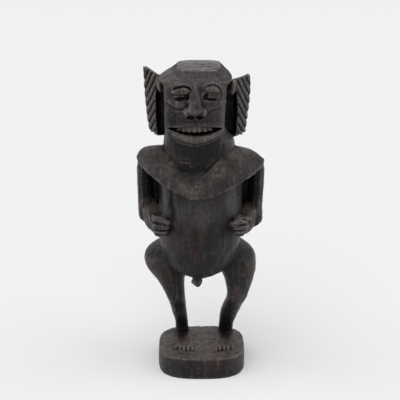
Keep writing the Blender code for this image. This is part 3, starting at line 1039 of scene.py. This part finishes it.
def dust_and_painted_light_patches(spots, normals, stained):
    """Where wax and dust lie, on what faces up and in the places that no hand reaches, and where light is
    painted on the forearms' tops and the teeth, which lie in shade.
    """
    upward = np.clip(normals[:, 2] * 1.3, 0, 1)
    # The stain mark also carries painted shade and sheen. Dust settles where it is low.
    settled = 0.28 * upward**2 * np.clip(1 - stained, 0, 1)
    return np.clip(patches(spots, WAX_DUST_AND_PAINTED_LIGHT) * np.maximum(upward, 0.4) + settled, 0, 1)


def mesh_arrays(mesh):
    """A mesh's points and normals, and the pairs of points that its edges join."""
    count = len(mesh.vertices)
    spots, normals = np.empty(count * 3), np.empty(count * 3)
    edges = np.empty(len(mesh.edges) * 2, int)
    mesh.vertices.foreach_get("co", spots)
    mesh.vertices.foreach_get("normal", normals)
    mesh.edges.foreach_get("vertices", edges)
    return spots.reshape(-1, 3), normals.reshape(-1, 3), edges.reshape(-1, 2)


def finish_surface(mesh, settings):
    """Cuts and hews the surface, and notes its edge wear with painted highlights, painted shade in hollows
    and cuts, hewn ridges, darker stain with painted shade or grey stain with painted sheen, rubbed red wood,
    and dust with painted light.
    """
    spots, normals, edges = mesh_arrays(mesh)
    # The areas round a point, in square parts, that its height is compared with.
    near_area, far_area = 7, 60
    # The heights, depths and hewn share that wear and shade are measured against.
    worn_height, dark_depth, dark_cut, ridge_share = 0.32, 1.4, 2.0, 0.55
    knife = knife_work(spots, normals, settings.cut_depth)
    hewn = hand_work(spots)
    depth = knife + hewn * settings.tool_marks / PART
    under = spots[:, 2] < 0.6 - BASE_HEIGHT
    spots = spots - normals * depth[:, None]
    spots = smoothed(spots, edges, 1)
    low = np.array(LOW) / PART - (0, 0, BASE_HEIGHT) + MARGIN
    high = np.array(HIGH) / PART - (0, 0, BASE_HEIGHT) - MARGIN
    spots = np.clip(spots, low, high)
    spots[under, 2] = -BASE_HEIGHT
    mesh.vertices.foreach_set("co", spots.ravel())
    mesh.update()
    spots, normals, edges = mesh_arrays(mesh)
    spacing = np.linalg.norm(spots[edges[:, 0]] - spots[edges[:, 1]], axis=1).mean()
    near = smoothed(spots, edges, max(2, round(near_area / spacing**2)))
    far = smoothed(near, edges, max(4, round(far_area / spacing**2)))
    stands_out = -((near - spots) * normals).sum(axis=1)
    # How deep a point lies below the broad surface. This sets the painted shade in hollows, which is taken
    # back where the surface is open to light.
    lies_deep = ((far - spots) * normals).sum(axis=1)
    lies_deep = lies_deep / dark_depth - 0.1 - patches(spots, OPEN_TO_LIGHT)
    # Darker stain with painted shade above 0, and grey stain with painted sheen below it.
    stained = patches(spots, DARK_STAIN_AND_PAINTED_SHADE) - patches(spots, GREY_STAIN_AND_PAINTED_SHEEN)
    for name, values in (
        ("worn_and_highlit", np.clip(stands_out / worn_height - 0.25, 0, 1)),
        ("painted_shade_in_hollows", np.clip(np.maximum(lies_deep, knife / dark_cut - 0.25), 0, 1)),
        ("ridged", np.clip(1 - hewn / ridge_share, 0, 1)),
        ("stain_shade_and_sheen", stained),
        ("rubbed", patches(spots, RED_WOOD)),
        ("dust_and_painted_light", dust_and_painted_light_patches(spots, normals, stained)),
    ):
        attribute = mesh.attributes.new(name, "FLOAT", "POINT")
        attribute.data.foreach_set("value", np.ascontiguousarray(values, np.float32))


def thinned(mesh, triangles):
    """The mesh with its flatter parts in fewer faces."""
    obj = as_object("thinning", mesh)
    modifier = obj.modifiers.new("thinner", "DECIMATE")
    modifier.ratio = min(1.0, triangles / sum(len(polygon.vertices) - 2 for polygon in mesh.polygons))
    result = evaluated_mesh(obj)
    bpy.data.objects.remove(obj)
    return result


def to_metres(mesh):
    """Brings the mesh to its real size and place, with none of it below the floor."""
    spots = mesh_arrays(mesh)[0] * PART + (0, 0, LOW.z + BASE_HEIGHT * PART)
    spots[:, 2] = np.maximum(spots[:, 2], LOW.z)
    mesh.vertices.foreach_set("co", spots.ravel())
    mesh.update()


# The finish.


def add(tree, kind, inputs=None, **settings):
    """A node of this kind with its settings. Inputs are values, or sockets to link, by name or number."""
    node = tree.nodes.new("ShaderNode" + kind)
    for name, value in settings.items():
        setattr(node, name, value)
    for key, value in (inputs or {}).items():
        if isinstance(value, bpy.types.NodeSocket):
            tree.links.new(value, node.inputs[key])
        else:
            node.inputs[key].default_value = value
    return node


def blank_material(name):
    """A material with its Principled shader, and the tree that both are in."""
    material = bpy.data.materials.new(name)
    material.use_nodes = True
    return material, material.node_tree, material.node_tree.nodes["Principled BSDF"]


def stained_hardwood(settings):
    """Dense hardwood, carved, scraped and stained nearly black, then handled for years.

    To the eye that is a dull near-black with fine vertical grain, reddish wood where the stain is
    rubbed thin, grey wax and dust on what faces up, and edges polished light. Painted on it are
    shade in hollows, cuts and shaded places, sheen and highlights, and light on parts that lie in shade.
    """
    material, tree, shader = blank_material("dark_stained_carved_hardwood")
    place = add(tree, "TexCoord").outputs["Object"]

    def noise(size, stretch, detail):
        """Noise whose lumps have this size in metres, and are longer up the log by the stretch."""
        scaled = add(tree, "Mapping", {0: place, 3: (1 / size, 1 / size, 1 / (size * stretch))})
        values = {"Vector": scaled.outputs[0], "Scale": 1.0, "Detail": detail, "Roughness": 0.6}
        return add(tree, "TexNoise", values).outputs["Fac"]

    def level(value, low, high, to_low=0.0, to_high=1.0):
        """The value between two levels as a share, clamped."""
        return add(tree, "MapRange", {0: value, 1: low, 2: high, 3: to_low, 4: to_high}).outputs[0]

    def times(a, b):
        return add(tree, "Math", {0: a, 1: b}, operation="MULTIPLY").outputs[0]

    def plus(a, b):
        return add(tree, "Math", {0: a, 1: b}, operation="ADD").outputs[0]

    def mixed(share, a, b):
        return add(tree, "Mix", {0: share, 6: a, 7: b}, data_type="RGBA").outputs[2]

    def marked(name):
        return add(tree, "Attribute", attribute_name=name).outputs["Fac"]

    grain = noise(settings.grain_width, 22.0, 4.0)
    streaks = noise(0.011, 9.0, 3.0)
    mottle = noise(0.0042, 1.6, 3.0)
    specks = noise(0.0013, 1.0, 2.0)
    clouds = noise(0.034, 1.8, 2.0)

    stain = tuple(settings.stain)
    darker = tuple(value * 0.4 for value in stain[:3]) + (1.0,)
    paler = tuple(value * 2.1 for value in stain[:3]) + (1.0,)
    # Painted grey sheen and light, darker stain with painted shade, and painted shade in hollows.
    painted_grey_sheen, black_stain_and_shade, shaded = linear("#4a484c"), linear("#100d0e"), linear("#120f0f")
    # The mark of darker stain with painted shade, and of grey stain with painted sheen.
    deep = marked("stain_shade_and_sheen")
    colour = mixed(level(grain, 0.38, 0.62, 0.35, 1.0), darker, stain)
    colour = mixed(level(mottle, 0.34, 0.5, 0.35, 0.0), colour, darker)
    colour = mixed(level(streaks, 0.52, 0.38, 0.0, 0.6), colour, darker)
    colour = mixed(times(marked("ridged"), level(mottle, 0.34, 0.56, 0.25, 0.75)), colour, paler)
    colour = mixed(level(clouds, 0.48, 0.66, 0.0, 0.5), colour, paler)
    # Grey stain with painted sheen where the mark is below 0, and darker stain with painted shade above it.
    colour = mixed(times(level(deep, 0.0, -1.0), level(mottle, 0.34, 0.6, 0.3, 1.0)), colour, painted_grey_sheen)
    colour = mixed(times(level(deep, 0.0, 1.0), level(mottle, 0.3, 0.62, 1.0, 0.68)), colour, black_stain_and_shade)
    rubbed = times(marked("rubbed"), level(mottle, 0.38, 0.62))
    thin = times(level(clouds, 0.55, 0.72, 0.0, 0.4), level(streaks, 0.45, 0.62))
    colour = mixed(times(rubbed, level(grain, 0.3, 0.6, 0.25, 0.75)), colour, tuple(settings.heartwood))
    colour = mixed(thin, colour, tuple(settings.heartwood))
    # Wax and dust, with painted light on the forearms' tops and the teeth.
    dust_and_painted_light = times(marked("dust_and_painted_light"), level(mottle, 0.34, 0.62, 0.1, 0.95))
    dust_and_painted_light = times(dust_and_painted_light, level(clouds, 0.38, 0.6, 0.45, 1.0))
    colour = mixed(dust_and_painted_light, colour, tuple(settings.dust))
    # Ridges and edges lightened: wear, with painted highlights where light catches them.
    worn_and_highlit = times(marked("worn_and_highlit"), level(specks, 0.4, 0.58, 0.1, 1.0))
    colour = mixed(times(worn_and_highlit, 0.7), colour, tuple(settings.edge_wear_and_highlight))
    # Painted shade: hollows and knife cuts darkened nearly to black.
    colour = mixed(times(marked("painted_shade_in_hollows"), 0.85), colour, shaded)
    tree.links.new(colour, shader.inputs["Base Color"])

    dullness = plus(level(streaks, 0.36, 0.64, 0.3, 0.52), times(dust_and_painted_light, 0.2))
    tree.links.new(dullness, shader.inputs["Roughness"])
    shader.inputs["Specular IOR Level"].default_value = 0.2
    shader.inputs["IOR"].default_value = 1.5

    relief = plus(plus(grain, times(specks, 0.8)), times(mottle, 0.9))
    bump = add(tree, "Bump", {"Height": relief, "Strength": 0.8, "Distance": 0.0008})
    tree.links.new(bump.outputs[0], shader.inputs["Normal"])
    return material


def painted_floor(settings):
    """A board with matt white paint, which shows only the light and soft shadows on it."""
    material, _, shader = blank_material("matt_white_painted_board")
    shader.inputs["Base Color"].default_value = settings.floor
    shader.inputs["Roughness"].default_value = 0.9
    shader.inputs["Specular IOR Level"].default_value = 0.1
    return material


class CARVING_OT_figure(bpy.types.Operator):
    """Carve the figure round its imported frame, and stain it"""

    bl_idname = "carving.figure"
    bl_label = "Carve the figure"

    def execute(self, context):
        settings = context.scene.carving
        size = settings.fineness / PART * 1.0
        mesh = rough_carving(size)
        if len(mesh.polygons) < FEWEST_FACES:
            raise RuntimeError("the forms weren't joined into one skin")
        finish_surface(mesh, settings)
        mesh = thinned(mesh, settings.faces)
        to_metres(mesh)
        mesh.shade_smooth()
        mesh.name = "carved_figure"
        mesh.materials.clear()
        mesh.materials.append(stained_hardwood(settings))
        figure = as_object("carved_figure", mesh)
        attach(figure, "root")
        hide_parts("figure")
        return {"FINISHED"}


class CARVING_OT_stage(bpy.types.Operator):
    """Set the floor, the light and the camera"""

    bl_idname = "carving.stage"
    bl_label = "Set the stage"

    def execute(self, context):
        if "carved_figure" not in bpy.data.objects:
            raise RuntimeError("carve the figure first, because some lamps light it alone")
        settings = context.scene.carving_stage
        self.lay_floor(settings)
        self.light(context.scene, settings)
        self.place_camera(context.scene, settings)
        return {"FINISHED"}

    def lay_floor(self, settings):
        corners = [(x * FLOOR_HALF, y * FLOOR_HALF, 0) for x, y in ((-1, -1), (1, -1), (1, 1), (-1, 1))]
        mesh = bpy.data.meshes.new("floor")
        mesh.from_pydata(corners, [], [(0, 1, 2, 3)])
        mesh.materials.append(painted_floor(settings))
        floor = as_object("floor", mesh)

    def light(self, scene, settings):
        world = bpy.data.worlds.new("studio")
        world.use_nodes = True
        background = world.node_tree.nodes["Background"]
        background.inputs["Color"].default_value = linear("#fbfbff")
        background.inputs["Strength"].default_value = settings.daylight
        scene.world = world
        scene.view_settings.view_transform = "Standard"
        lit_alone = {
            None: None,
            "carved_figure": self.receivers("lit_figure", "carved_figure"),
            "floor": self.receivers("lit_floor", "floor"),
        }
        for name, share, spread, height, around, lit in LAMPS:
            lamp = bpy.data.lights.new(name, "SUN")
            lamp.energy = settings.key * share
            lamp.angle = math.radians(spread)
            lamp.use_shadow = lit != "floor"
            obj = bpy.data.objects.new(name, lamp)
            scene.collection.objects.link(obj)
            obj.light_linking.receiver_collection = lit_alone[lit]
            up, turn = math.radians(height), math.radians(around)
            towards = Vector((math.sin(turn) * math.cos(up), -math.cos(turn) * math.cos(up), math.sin(up)))
            obj.rotation_euler = towards.to_track_quat("Z", "Y").to_euler()

    def receivers(self, name, lit):
        """A collection with the one object that a lamp lights."""
        collection = bpy.data.collections.new(name)
        collection.objects.link(bpy.data.objects[lit])
        return collection

    def place_camera(self, scene, settings):
        camera = bpy.data.cameras.new("camera")
        camera.lens = settings.lens
        camera.clip_end = 50
        obj = bpy.data.objects.new("camera", camera)
        scene.collection.objects.link(obj)
        obj.location = (CAMERA_X, -settings.camera_distance, settings.camera_height)
        aim = Vector((CAMERA_X, 0, AIM_HEIGHT)) - obj.location
        obj.rotation_euler = aim.to_track_quat("-Z", "Y").to_euler()
        scene.camera = obj


class CARVING_PT_panel(bpy.types.Panel):
    """The carving's settings and steps"""

    bl_idname = "CARVING_PT_panel"
    bl_label = "Carved figure"
    bl_space_type = "VIEW_3D"
    bl_region_type = "UI"
    bl_category = "Carving"

    def draw(self, context):
        for settings, operator in (
            (context.scene.carving, CARVING_OT_figure.bl_idname),
            (context.scene.carving_stage, CARVING_OT_stage.bl_idname),
        ):
            column = self.layout.column()
            for name in settings.__annotations__:
                column.prop(settings, name)
            column.operator(operator)


CLASSES = (CarvingSettings, StageSettings, CARVING_OT_figure, CARVING_OT_stage, CARVING_PT_panel)


def register():
    for item in CLASSES:
        bpy.utils.register_class(item)
    bpy.types.Scene.carving = PointerProperty(type=CarvingSettings)
    bpy.types.Scene.carving_stage = PointerProperty(type=StageSettings)


def unregister():
    del bpy.types.Scene.carving_stage
    del bpy.types.Scene.carving
    for item in reversed(CLASSES):
        bpy.utils.unregister_class(item)


def main():
    register()
    bpy.ops.carving.figure()
    bpy.ops.carving.stage()


if __name__ == "__main__":
    main()
